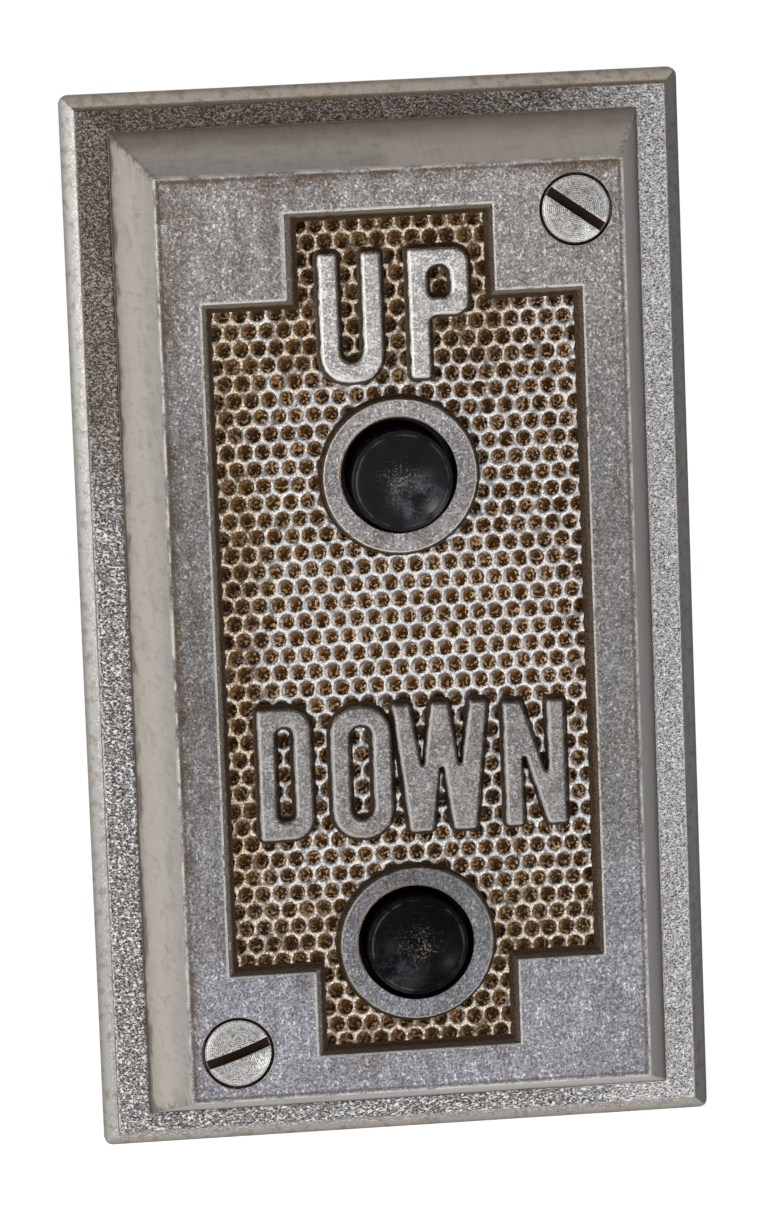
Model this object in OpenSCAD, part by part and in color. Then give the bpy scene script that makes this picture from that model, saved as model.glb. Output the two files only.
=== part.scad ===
// Wall-mounted call station with two push buttons.
// A hollow cast faceplate stands on the wall. Each button drives a sprung plunger
// whose disc bridges two contact posts on an insulating board behind the face.
// Modules are drawn lying down: X right, Y up the wall, Z out of the wall.
// on_wall() then stands them up, so the face looks along -Y and +Z is up.

/* [Faceplate] */
// Overall width of the faceplate at the wall
plate_w = 78.2; // [76:0.1:90]
// Overall height of the faceplate at the wall
plate_h = 134.8; // [132:0.1:150]
// Radius of the four outer corners
corner_r = 1.2; // [0.5:0.1:3]
// Height of the square edge that meets the wall
edge_land = 0.8; // [0.4:0.1:1.5]
// Width of the edge bevel, seen from the front
edge_bevel = 1.8; // [1:0.1:2.5]
// Height of the top of the edge bevel above the wall
edge_h = 2.6; // [1.6:0.1:3]
// Width of the sloping border at the two sides
band_side = 4; // [3:0.1:4.5]
// Width of the sloping border at the top and bottom
band_end = 2.8; // [2:0.1:4]
// Height of the top of the sloping border above the wall
band_h = 4; // [3.2:0.1:6]
// Width of the raised face
face_w = 58.2; // [56:0.1:60]
// Height of the raised face
face_h = 116.6; // [112:0.1:118]
// Height of the raised face above the wall
face_height = 19.5; // [16:0.5:24]
// Thickness of the casting's side walls
wall_t = 3; // [2:0.1:4]

/* [Stepped recess] */
// Width of the recess's main field
recess_w = 47.7; // [42:0.1:50]
// Height of the recess's main field
recess_h = 85; // [78:0.1:86]
// Width of the tabs at the top and bottom of the recess
tab_w = 25.8; // [20:0.1:30]
// Height of each tab
tab_h = 10.8; // [6:0.1:12]
// Depth of the recess
recess_depth = 1.3; // [1:0.1:2.5]
// Width of the recess's leaning walls, seen from the front
recess_draft = 1.1; // [0.4:0.1:2]
// Thickness of the casting under the recess
floor_t = 2.7; // [1.5:0.1:3]

/* [Buttons] */
// Height of the upper button above the plate's centre
up_z = 19.9; // [15:0.1:24]
// Height of the lower button above the plate's centre
down_z = -39.4; // [-40:0.1:-34]
// Diameter of the flat top of each ring
ring_d = 19.05; // [17:0.05:22]
// Width of each ring's leaning outer wall, seen from the front
ring_draft = 0.5; // [0.2:0.1:1.5]
// Bore of each ring
bore_d = 14.3; // [13.6:0.1:15.5]
// Diameter of each button
button_d = 12.7; // [10:0.1:13]
// Height of a button's rim above its ring at rest
button_proud = 0.8; // [0.2:0.1:1.5]
// Height of a button's dome above its rim
dome_h = 1.3; // [0.6:0.1:2]
// Diameter of the flange that keeps a button in its bore
flange_d = 17; // [16.5:0.1:20]
// Thickness of that flange
flange_t = 1.3; // [1:0.1:2]
// How far a button travels
travel = 2.5; // [1.5:0.1:2.6]

/* [Plungers and contacts] */
// Diameter of a plunger's stem
stem_d = 4; // [3:0.1:4.4]
// How deep a plunger is fixed in its button
stem_grip = 3.3; // [2:0.1:4]
// Diameter of a plunger's collar
collar_d = 7.5; // [6.5:0.1:9]
// Thickness of a plunger's collar
collar_t = 1.9; // [1:0.1:2]
// Outer diameter of the insulating bush's sleeve
sleeve_d = 6; // [5.6:0.1:7]
// Diameter of the insulating bush's flange
insulator_d = 10; // [8.5:0.1:12]
// Thickness of the insulating bush's flange
insulator_t = 1.2; // [0.8:0.1:1.3]
// Diameter of a contact disc
disc_d = 21; // [19:0.1:22]
// Thickness of a contact disc
disc_t = 0.8; // [0.5:0.1:1]
// Diameter of a spring washer
spring_washer_d = 9; // [8:0.1:10]
// Thickness of a spring washer
spring_washer_t = 1; // [0.6:0.1:1.2]
// Wire diameter of a return spring
wire_d = 0.6; // [0.4:0.05:0.65]
// Mean diameter of a return spring's coil
coil_d = 6.6; // [6:0.1:6.8]
// Number of turns of a return spring
coil_turns = 6; // [5:1:6]
// Distance from a plunger's axis to each contact post
post_offset = 8; // [7:0.1:8.5]
// Diameter of a contact post's head
post_d = 5; // [3.5:0.1:5.5]
// Diameter of a contact post's shank
post_shank_d = 3; // [2:0.1:3.2]
// Gap between a disc and its posts with the button fully pressed
contact_gap = 0.1; // [0.05:0.05:0.3]
// Diameter of a guide bush's flange
guide_flange_d = 8; // [7.6:0.1:8.2]
// Thickness of a guide bush's flange
guide_flange_t = 0.8; // [0.5:0.1:1]
// Outer diameter of a guide bush's sleeve
guide_sleeve_d = 6.4; // [6:0.1:7]
// Width across flats of a plunger nut
plunger_nut_af = 7; // [6:0.1:8]
// Thickness of a plunger nut
plunger_nut_t = 1.8; // [1:0.1:1.8]

/* [Contact board] */
// Thickness of the contact board
board_t = 4.5; // [4:0.1:5]
// Length of the bosses that the board is screwed to
boss_l = 11.5; // [11.2:0.1:13]
// Depth of the pocket that holds each spring's foot
pocket_depth = 2.5; // [1.5:0.1:2.8]
// Diameter of that pocket
pocket_d = 8.6; // [8.3:0.1:9.4]
// Corner radius of the board
board_r = 2.5; // [1:0.1:4]
// Distance between the two columns of board screws
fixing_w = 25; // [24:0.1:26]
// Distance from a button's axis to the nearest row of board screws
fixing_over = 10.7; // [10:0.1:11.5]
// Distance from a board screw to the board's edge
fixing_edge = 4.5; // [4:0.1:5]
// Diameter of the bosses that the board is screwed to
boss_d = 7.5; // [6:0.1:8]
// Diameter of the board screws
board_screw_d = 3; // [2.5:0.1:3.2]
// Diameter of the board screws' heads
board_head_d = 5.6; // [5:0.1:6]
// Height of the board screws' heads
board_head_t = 2; // [1.4:0.1:2.2]
// How far the board screws reach into the bosses
board_screw_grip = 6; // [4:0.1:6.5]
// Width of the slots in the board screws
board_slot_w = 0.9; // [0.5:0.1:1.1]
// Outer diameter of the board and terminal washers
washer_d = 6.6; // [6.2:0.1:7]
// Thickness of the board and terminal washers
washer_t = 0.6; // [0.4:0.1:0.8]
// Width across flats of the terminal nuts
terminal_nut_af = 5.5; // [5:0.1:6]
// Thickness of the terminal nuts
terminal_nut_t = 2.2; // [1.5:0.1:2.4]

/* [Wall screws] */
// Distance from the face's side edge to a wall screw
screw_from_side = 6; // [5:0.1:7]
// Distance from the face's end edge to a wall screw
screw_from_end = 6.2; // [5:0.1:7]
// Diameter of the wall screws' plain shanks
wall_screw_d = 4.16; // [3.5:0.01:4.4]
// Diameter of the wall screws' threaded ends, at the middle of the thread
wall_thread_d = 3.65; // [3:0.05:4]
// Length of the wall screws' tapered points
wall_point = 0.8; // [0.4:0.1:1.5]
// Diameter of the wall screws' heads
wall_head_d = 8.43; // [7:0.01:8.6]
// Height of the wall screws' heads at their rim
wall_head_rim = 0.8; // [0.5:0.1:1]
// Height of the wall screws' heads above that rim
wall_head_crown = 0.7; // [0.3:0.1:1]
// Width of the wall screws' slots
slot_w = 1.2; // [0.6:0.1:1.4]
// Depth of the wall screws' slots
slot_depth = 0.9; // [0.5:0.1:1.1]
// Angle of the upper screw's slot
upper_slot_angle = -36; // [-90:1:90]
// Angle of the lower screw's slot
lower_slot_angle = 19; // [-90:1:90]
// Depth of the seat that each head lies in
seat_depth = 0.9; // [0.5:0.1:1.2]
// Room around a head in its seat
seat_room = 0.35; // [0.2:0.05:0.5]
// Diameter of the hollow pillars that the wall screws pass through
pillar_d = 9.5; // [8:0.1:9.8]
// How far the wall screws reach into the wall
screw_reach = 16; // [10:1:30]

/* [Clearances] */
// Room between a button's flange and the casting at rest
rest_gap = 0.2; // [0.1:0.05:0.3]
// Radial room of a sliding fit
slide_fit = 0.05; // [0.02:0.01:0.1]
// Radial room of a screw, stud or bush in its hole
hole_fit = 0.1; // [0.05:0.01:0.2]
// Radial room of a wall screw in its pillar
pillar_fit = 0.25; // [0.2:0.05:0.3]
// Room at each end of a return spring
spring_seat_gap = 0.05; // [0.02:0.01:0.1]

/* [Hidden] */
$fn = 64;
over = 1;

// Heights above the wall, from the face back to the board
ring_top = face_height;
recess_floor = face_height - recess_depth;
ceiling = recess_floor - floor_t;
flange_front = ceiling - rest_gap;
button_back = flange_front - flange_t;
collar_back = button_back - collar_t;
insulator_back = collar_back - insulator_t;
disc_back = insulator_back - disc_t;
spring_top = disc_back - spring_washer_t;
board_front = ceiling - boss_l;
board_back = board_front - board_t;
pocket_floor = board_front - pocket_depth;
spring_foot = pocket_floor + guide_flange_t;
post_top = disc_back - travel - contact_gap;
washer_back = board_back - washer_t;
terminal_back = washer_back - terminal_nut_t;
shank_tail = 0.5;
nut_gap = 0.3;
nut_front = board_back - nut_gap;
nut_back = nut_front - plunger_nut_t;
stem_tail = 0.2;
stem_back = nut_back - stem_tail;
rim_top = ring_top + button_proud;

// Places of the screws and the board
screw_x = face_w / 2 - screw_from_side;
screw_y = face_h / 2 - screw_from_end;
board_y = (up_z + down_z) / 2;
fixing_h = up_z - down_z + 2 * fixing_over;
board_w = fixing_w + 2 * fixing_edge;
board_h = fixing_h + 2 * fixing_edge;
seat_d = wall_head_d + 2 * seat_room;
screw_seat = face_height - seat_depth;

// Placing

module on_wall() {
    rotate([90, 0, 0]) children();
}

// One copy at the upper button's axis and one at the lower button's
module at_buttons() {
    for (y = [up_z, down_z])
        translate([0, y, 0]) children();
}

// One copy at each board screw
module at_fixings() {
    for (x = [-1, 1], y = [-1, 1])
        translate([x * fixing_w / 2, board_y + y * fixing_h / 2, 0]) children();
}

// One copy at each wall screw, upper right and lower left
module at_wall_screws() {
    for (side = [1, -1])
        translate([side * screw_x, side * screw_y, 0]) children();
}

// One copy at each contact post of a button
module at_posts() {
    for (side = [-1, 1])
        translate([side * post_offset, 0, 0]) children();
}

// Shared shapes

// Cylinder between two heights
module rod(d, z0, z1) {
    translate([0, 0, z0]) cylinder(d = d, h = z1 - z0);
}

// Flat ring between two heights
module washer(d, hole, z0, z1) {
    difference() {
        rod(d, z0, z1);
        rod(hole, z0 - over, z1 + over);
    }
}

// Hexagon nut between two heights
module nut(af, hole, z0, z1) {
    difference() {
        translate([0, 0, z0]) cylinder(d = af / cos(30), h = z1 - z0, $fn = 6);
        rod(hole, z0 - over, z1 + over);
    }
}

// Flat plate with round corners
module round_plate(w, h, r, z0, z1) {
    translate([0, 0, z0]) linear_extrude(z1 - z0) {
        square([w - 2 * r, h], center = true);
        square([w, h - 2 * r], center = true);
        for (x = [-1, 1], y = [-1, 1])
            translate([x * (w / 2 - r), y * (h / 2 - r)]) circle(r);
    }
}

// Solid whose sides follow one profile across and another profile up: mitred at its corners
module mitred(across, up, length) {
    intersection() {
        rotate([90, 0, 0]) linear_extrude(length, center = true) polygon(across);
        rotate([90, 0, 90]) linear_extrude(length, center = true) polygon(up);
    }
}

// Both sides of a profile, from its right half
function both_sides(half) =
    concat(half, [for (i = [len(half) - 1 : -1 : 0]) [-half[i][0], half[i][1]]]);

// Straight-sided taper between two heights
function taper(size0, size1, z0, z1) = both_sides([[size0 / 2, z0], [size1 / 2, z1]]);

// Faceplate

// Outer form of the casting: edge, bevel, border, slope and face
function casting_profile(size, band, face) = both_sides([
    [size / 2, 0],
    [size / 2, edge_land],
    [size / 2 - edge_bevel, edge_h],
    [size / 2 - edge_bevel - band, band_h],
    [face / 2, face_height]]);

// Inside of the casting at a height, one wall in from the slope
function cavity_size(size, band, face, z) =
    let (run = size / 2 - edge_bevel - band - face / 2)
    face + 2 * run * (face_height - z) / (face_height - band_h) - 2 * wall_t;

function cavity_profile(size, band, face) =
    taper(cavity_size(size, band, face, -over), cavity_size(size, band, face, ceiling), -over, ceiling);

module casting_form() {
    intersection() {
        mitred(casting_profile(plate_w, band_side, face_w),
            casting_profile(plate_h, band_end, face_h), plate_w + plate_h);
        round_plate(plate_w, plate_h, corner_r, 0, face_height);
    }
}

module cavity() {
    mitred(cavity_profile(plate_w, band_side, face_w),
        cavity_profile(plate_h, band_end, face_h), plate_w + plate_h);
}

// One field of the recess, wider at the face than at its floor
module recess_field(w, h) {
    slope = recess_draft / recess_depth;
    top = face_height + over;
    mitred(taper(w - 2 * recess_draft, w + 2 * over * slope, recess_floor, top),
        taper(h - 2 * recess_draft, h + 2 * over * slope, recess_floor, top), w + h);
}

module ring() {
    translate([0, 0, recess_floor - over])
        cylinder(d1 = ring_d + 2 * ring_draft * (recess_depth + over) / recess_depth,
            d2 = ring_d, h = recess_depth + over);
}

module faceplate() {
    color([0.62, 0.60, 0.57]) on_wall() difference() {
        union() {
            difference() {
                casting_form();
                cavity();
                recess_field(recess_w, recess_h);
                recess_field(tab_w, recess_h + 2 * tab_h);
            }
            at_buttons() ring();
            at_wall_screws() rod(pillar_d, 0, ceiling + floor_t);
            at_fixings() rod(boss_d, board_front, ceiling + floor_t);
        }
        at_buttons() rod(bore_d, ceiling - over, ring_top + over);
        at_wall_screws() {
            rod(wall_screw_d + 2 * pillar_fit, -over, screw_seat + over);
            rod(seat_d, screw_seat, face_height + over);
        }
        at_fixings()
            rod(board_screw_d + 2 * hole_fit, board_front - over, board_front + board_screw_grip + over);
    }
}

// Slotted screw: a crowned head, a plain shank down to the wall and a threaded end with a point
module wall_screw(slot_angle) {
    head_r = wall_head_d / 2;
    crown_r = (head_r * head_r + wall_head_crown * wall_head_crown) / (2 * wall_head_crown);
    head_top = screw_seat + wall_head_rim + wall_head_crown;
    difference() {
        union() {
            intersection() {
                rod(wall_head_d, screw_seat, head_top);
                translate([0, 0, head_top - crown_r]) sphere(crown_r, $fn = 128);
            }
            rod(wall_screw_d, 0, screw_seat + wall_head_rim / 2);
            rod(wall_thread_d, wall_point - screw_reach, over);
            translate([0, 0, -screw_reach])
                cylinder(d1 = wall_thread_d - wall_point, d2 = wall_thread_d, h = wall_point);
        }
        translate([0, 0, head_top - slot_depth]) rotate([0, 0, slot_angle])
            translate([-wall_head_d, -slot_w / 2, 0]) cube([2 * wall_head_d, slot_w, slot_depth + over]);
    }
}

module plate_screws() {
    color([0.75, 0.74, 0.72]) on_wall() {
        translate([screw_x, screw_y, 0]) wall_screw(upper_slot_angle);
        translate([-screw_x, -screw_y, 0]) wall_screw(lower_slot_angle);
    }
}

// Contact board and its screws

module contact_base() {
    color([0.23, 0.13, 0.08]) on_wall() difference() {
        translate([0, board_y, 0]) round_plate(board_w, board_h, board_r, board_back, board_front);
        at_buttons() {
            rod(guide_sleeve_d + 2 * hole_fit, board_back - over, board_front + over);
            rod(pocket_d, pocket_floor, board_front + over);
            at_posts() rod(post_shank_d + 2 * hole_fit, board_back - over, board_front + over);
        }
        at_fixings() rod(board_screw_d + 2 * hole_fit, board_back - over, board_front + over);
    }
}

module base_screw() {
    difference() {
        union() {
            rod(board_head_d, washer_back - board_head_t, washer_back);
            rod(board_screw_d, washer_back - board_head_t / 2, board_front + board_screw_grip);
        }
        translate([-board_head_d, -board_slot_w / 2, washer_back - board_head_t - over])
            cube([2 * board_head_d, board_slot_w, board_head_t / 2 + over]);
    }
}

module base_screws() {
    color([0.72, 0.62, 0.36]) on_wall() at_fixings() base_screw();
}

module base_washers() {
    color([0.76, 0.66, 0.40]) on_wall() at_fixings()
        washer(washer_d, board_screw_d + 2 * hole_fit, washer_back, board_back);
}

// Button, plunger and what rides on the plunger

module button() {
    color([0.03, 0.03, 0.035]) {
        r = button_d / 2;
        dome_r = (r * r + dome_h * dome_h) / (2 * dome_h);
        difference() {
            union() {
                intersection() {
                    rod(button_d, button_back, rim_top + dome_h);
                    translate([0, 0, rim_top + dome_h - dome_r]) sphere(dome_r, $fn = 128);
                }
                rod(button_d, button_back, rim_top - dome_h);
                rod(flange_d, button_back, flange_front);
            }
            rod(stem_d + 2 * slide_fit, button_back - over, button_back + stem_grip + slide_fit);
        }
    }
}

module plunger() {
    color([0.72, 0.56, 0.28]) {
        rod(stem_d, stem_back, button_back + stem_grip);
        rod(collar_d, collar_back, button_back);
    }
}

module insulating_bush() {
    color([0.45, 0.20, 0.12]) difference() {
        union() {
            rod(insulator_d, insulator_back, collar_back);
            rod(sleeve_d, disc_back, collar_back);
        }
        rod(stem_d + 2 * slide_fit, disc_back - over, collar_back + over);
    }
}

module contact_disc() {
    color([0.78, 0.58, 0.30]) washer(disc_d, sleeve_d + 2 * slide_fit, disc_back, insulator_back);
}

module spring_washer() {
    color([0.45, 0.20, 0.12])
        washer(spring_washer_d, stem_d + 2 * slide_fit, spring_top, disc_back);
}

module plunger_nut() {
    color([0.74, 0.60, 0.32]) nut(plunger_nut_af, stem_d + 2 * slide_fit, nut_back, nut_front);
}

// Height of a spring's wire after a number of turns: its end turns lie closed
function wire_height(turn, length) =
    let (rise = length - wire_d, open_turns = coil_turns - 2)
    turn < 1 ? wire_d * turn
        : turn > coil_turns - 1 ? rise - wire_d * (coil_turns - turn)
        : wire_d + (rise - 2 * wire_d) * (turn - 1) / open_turns;

module return_spring() {
    steps = 20;
    sides = 8;
    length = spring_top - spring_foot - 2 * spring_seat_gap;
    rings = coil_turns * steps;
    points = [for (i = [0 : rings], j = [0 : sides - 1])
        let (around = 360 * i / steps, about = 360 * j / sides,
            r = coil_d / 2 + wire_d / 2 * cos(about),
            z = wire_d / 2 + wire_height(i / steps, length) + wire_d / 2 * sin(about))
        [r * cos(around), r * sin(around), z]];
    walls = [for (i = [0 : rings - 1], j = [0 : sides - 1])
        let (a = i * sides + j, b = i * sides + (j + 1) % sides)
        [a, b, b + sides, a + sides]];
    start = [for (j = [sides - 1 : -1 : 0]) j];
    end = [for (j = [0 : sides - 1]) rings * sides + j];
    color([0.70, 0.70, 0.72]) translate([0, 0, spring_foot + spring_seat_gap])
        polyhedron(points, concat(walls, [start, end]), convexity = 10);
}

// What each button's contact keeps on the board

module guide_bush() {
    color([0.76, 0.60, 0.30]) difference() {
        union() {
            rod(guide_flange_d, pocket_floor, spring_foot);
            rod(guide_sleeve_d, board_back, spring_foot);
        }
        rod(stem_d + 2 * slide_fit, board_back - over, spring_foot + over);
    }
}

module contact_posts() {
    color([0.78, 0.62, 0.34]) at_posts() {
        rod(post_d, board_front, post_top);
        rod(post_shank_d, terminal_back - shank_tail, post_top);
    }
}

module terminal_washers() {
    color([0.76, 0.66, 0.40]) at_posts()
        washer(washer_d, post_shank_d + 2 * hole_fit, washer_back, board_back);
}

module terminal_nuts() {
    color([0.74, 0.60, 0.32]) at_posts()
        nut(terminal_nut_af, post_shank_d + 2 * hole_fit, terminal_back, washer_back);
}

// One contact's pieces at a button's height
module at_button(y) {
    on_wall() translate([0, y, 0]) children();
}

faceplate();
plate_screws();
contact_base();
base_screws();
base_washers();
at_button(up_z) button();  // up_button
at_button(up_z) plunger();  // up_plunger
at_button(up_z) insulating_bush();  // up_insulating_bush
at_button(up_z) contact_disc();  // up_contact_disc
at_button(up_z) spring_washer();  // up_spring_washer
at_button(up_z) return_spring();  // up_return_spring
at_button(up_z) guide_bush();  // up_guide_bush
at_button(up_z) plunger_nut();  // up_plunger_nut
at_button(up_z) contact_posts();  // up_contact_posts
at_button(up_z) terminal_washers();  // up_terminal_washers
at_button(up_z) terminal_nuts();  // up_terminal_nuts
at_button(down_z) button();  // down_button
at_button(down_z) plunger();  // down_plunger
at_button(down_z) insulating_bush();  // down_insulating_bush
at_button(down_z) contact_disc();  // down_contact_disc
at_button(down_z) spring_washer();  // down_spring_washer
at_button(down_z) return_spring();  // down_return_spring
at_button(down_z) guide_bush();  // down_guide_bush
at_button(down_z) plunger_nut();  // down_plunger_nut
at_button(down_z) contact_posts();  // down_contact_posts
at_button(down_z) terminal_washers();  // down_terminal_washers
at_button(down_z) terminal_nuts();  // down_terminal_nuts
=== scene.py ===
import math

import bmesh
import bpy
from mathutils import Matrix, Vector
from mathutils.geometry import tessellate_polygon


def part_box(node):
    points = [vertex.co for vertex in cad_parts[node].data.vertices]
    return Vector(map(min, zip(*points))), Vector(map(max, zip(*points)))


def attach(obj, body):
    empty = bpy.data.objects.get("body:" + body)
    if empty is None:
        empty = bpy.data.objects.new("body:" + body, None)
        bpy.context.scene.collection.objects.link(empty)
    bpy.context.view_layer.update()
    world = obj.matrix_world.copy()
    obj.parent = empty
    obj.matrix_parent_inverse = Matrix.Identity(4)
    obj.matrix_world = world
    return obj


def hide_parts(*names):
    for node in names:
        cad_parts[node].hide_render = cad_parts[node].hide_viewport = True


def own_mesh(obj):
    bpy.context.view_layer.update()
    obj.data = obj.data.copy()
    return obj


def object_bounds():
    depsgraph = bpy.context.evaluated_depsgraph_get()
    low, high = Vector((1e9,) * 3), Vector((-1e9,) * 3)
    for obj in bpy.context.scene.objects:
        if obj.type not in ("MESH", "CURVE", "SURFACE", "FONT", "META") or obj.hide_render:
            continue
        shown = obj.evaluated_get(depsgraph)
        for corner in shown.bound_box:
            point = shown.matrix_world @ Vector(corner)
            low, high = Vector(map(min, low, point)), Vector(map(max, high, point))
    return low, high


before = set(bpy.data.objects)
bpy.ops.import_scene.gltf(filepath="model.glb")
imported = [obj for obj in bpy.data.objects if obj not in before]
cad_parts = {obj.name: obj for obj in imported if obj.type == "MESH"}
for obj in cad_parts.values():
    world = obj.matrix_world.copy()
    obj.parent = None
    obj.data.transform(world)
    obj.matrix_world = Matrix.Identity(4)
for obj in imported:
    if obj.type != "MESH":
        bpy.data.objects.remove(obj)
cad_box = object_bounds()

# Faceplate: one hollow white-metal casting that stands on the wall, drawn in millimetres off the wall.
# The mould left a fine sandy skin. Handling has worn its arrises bright and the slopes are rubbed from foot
# to face. Brown grime with painted shade lies at their foot, and painted light and shade lies on the walls of
# the recess, the screw seats and the bores.
MM = 0.001
plate_low, plate_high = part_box("faceplate")
FACE_LEVEL = -plate_low.y / MM
PLATE_HALF = (plate_high.x / MM, plate_high.z / MM)
EDGE_BEVEL = 1.8
EDGE_LEVEL = 2.6
BAND_WIDTH = (4.0, 2.8)
BAND_LEVEL = 4.0
FACE_HALF = (29.1, 58.3)
FLOOR_LEVEL = FACE_LEVEL - 1.3
FIELD_HALF = (23.85, 42.5)
TAB_HALF = (12.9, 53.3)
BORE_RADIUS = 7.15
RING_RADIUS = 9.525
RING_TONE = {"up": 1.36, "down": 0.70}
POCKET_DEPTH = 0.8
EASE = 0.28
WORN_LIP = 0.25
WORN_TAB = 0.9
WORN_BORE = 0.7
GRIME_AND_SHADE_BROWN = (0.050, 0.027, 0.012)
SOOT_AND_SHADE = (0.020, 0.013, 0.009)
BUTTON_Z = {}
for which in ("up", "down"):
    low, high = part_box(which + "_button")
    BUTTON_Z[which] = (low.z + high.z) / 2 / MM


class Signal:
    """One output of a node tree. Arithmetic on it adds Math nodes."""

    def __init__(self, tree, socket):
        self.tree = tree
        self.socket = socket

    def node(self, kind, settings, inputs, output=0):
        """Adds any other node: its settings first, then the values or links of its sockets."""
        made = self.tree.nodes.new(kind)
        for key, value in settings.items():
            setattr(made, key, value)
        for key, value in inputs.items():
            if isinstance(value, Signal):
                self.tree.links.new(value.socket, made.inputs[key])
            else:
                made.inputs[key].default_value = value
        return Signal(self.tree, made.outputs[output])

    def math(self, operation, *values):
        return self.node("ShaderNodeMath", {"operation": operation}, dict(enumerate(values)))

    def __add__(self, other):
        return self.math("ADD", self, other)

    def __sub__(self, other):
        return self.math("SUBTRACT", self, other)

    def __rsub__(self, other):
        return self.math("SUBTRACT", other, self)

    def __mul__(self, other):
        return self.math("MULTIPLY", self, other)

    def __truediv__(self, other):
        return self.math("DIVIDE", self, other)

    def __neg__(self):
        return self.math("MULTIPLY", self, -1.0)

    def __abs__(self):
        return self.math("ABSOLUTE", self)

    __radd__ = __add__
    __rmul__ = __mul__


def split(vector):
    """The three parts of a vector."""
    return [vector.node("ShaderNodeSeparateXYZ", {}, {0: vector}, part) for part in range(3)]


def larger(first, second):
    """The larger of two values."""
    return first.math("MAXIMUM", first, second)


def scaled(vector, amount):
    """A vector times an amount."""
    return vector.node("ShaderNodeVectorMath", {"operation": "SCALE"}, {0: vector, "Scale": amount})


def ramp(value, start, end):
    """Rises smoothly from 0 at start to 1 at end."""
    settings = {"interpolation_type": "SMOOTHSTEP"}
    return value.node("ShaderNodeMapRange", settings, {0: value, 1: start, 2: end})


def blend(share, low, high, mode="MIX"):
    """A colour from low, where share is 0, to high, or to their product, where it is 1."""
    low, high = [tone if isinstance(tone, Signal) else (*tone, 1) for tone in (low, high)]
    settings = {"data_type": "RGBA", "blend_type": mode, "clamp_factor": True}
    return share.node("ShaderNodeMix", settings, {0: share, 6: low, 7: high}, 2)


def tinted(share, colour, tint):
    """A colour multiplied by a tint, as far as share goes."""
    return blend(share, colour, tint, "MULTIPLY")


def noise(place, scale, detail=2.0, stretch=(1, 1, 1)):
    """Cloudy noise with this many waves to the millimetre, drawn out where stretch is under 1."""
    drawn = place.node("ShaderNodeVectorMath", {"operation": "MULTIPLY"}, {0: place, 1: stretch})
    return place.node("ShaderNodeTexNoise", {}, {"Vector": drawn, "Scale": scale, "Detail": detail})


def bumped(height, depth):
    """A surface normal from a height, this many millimetres from 0 to 1."""
    return height.node("ShaderNodeBump", {}, {"Height": height, "Distance": depth * MM}, "Normal")


def new_finish(name):
    """A new material, and its Object coordinates in millimetres."""
    material = bpy.data.materials.new(name)
    material.use_nodes = True
    tree = material.node_tree
    place = Signal(tree, tree.nodes.new("ShaderNodeTexCoord").outputs["Object"])
    return material, scaled(place, 1 / MM)


def surface_normal(place):
    """The three parts of the surface's normal."""
    return split(place.node("ShaderNodeNewGeometry", {}, {}, "Normal"))


def finish(material, **looks):
    """Sets or links the shader's sockets, named in lower case with _ for a space."""
    shader = material.node_tree.nodes["Principled BSDF"]
    for key, value in looks.items():
        socket = shader.inputs[key.replace("_", " ").title().replace("Ior", "IOR")]
        if isinstance(value, Signal):
            material.node_tree.links.new(value.socket, socket)
        else:
            socket.default_value = value


def new_piece(name, mesh, material, body):
    """Puts a finished mesh in the scene, riding on a body."""
    piece = bpy.data.objects.new(name, mesh)
    bpy.context.scene.collection.objects.link(piece)
    mesh.materials.clear()
    mesh.materials.append(material)
    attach(piece, body)
    return piece


def as_mesh(shape, name, sharp=None):
    """Ends a shape as a mesh. With sharp it is smooth, but for the edges over so many degrees."""
    mesh = bpy.data.meshes.new(name)
    shape.to_mesh(mesh)
    shape.free()
    if sharp:
        mesh.shade_smooth()
        mesh.set_sharp_from_angle(angle=math.radians(sharp))
    return mesh


def eased(name, node, material, body, ease, segments=2, sharp=30):
    """A copy of a node's mesh with its edges eased by so many millimetres, which stands for the node."""
    shape = bmesh.new()
    shape.from_mesh(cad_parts[node].data)
    weld = 0.002
    bmesh.ops.remove_doubles(shape, verts=shape.verts, dist=weld * MM)
    flat = math.radians(0.5)
    bmesh.ops.dissolve_limit(shape, angle_limit=flat, verts=shape.verts, edges=shape.edges)
    limit = math.radians(sharp)
    edges = [e for e in shape.edges if e.is_manifold and e.calc_face_angle(0) > limit]
    bmesh.ops.bevel(shape, geom=edges, offset=ease * MM, segments=segments, profile=0.5, affect="EDGES",
                    clamp_overlap=True)
    piece = new_piece(name, as_mesh(shape, name, sharp), material, body)
    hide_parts(node)
    return piece


def radius_about(x, z, centre_x, centre_z):
    """Distance of a point from an axis that runs into the wall."""
    from_x = x - centre_x
    from_z = z - centre_z
    return from_x.math("SQRT", from_x * from_x + from_z * from_z)


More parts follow.
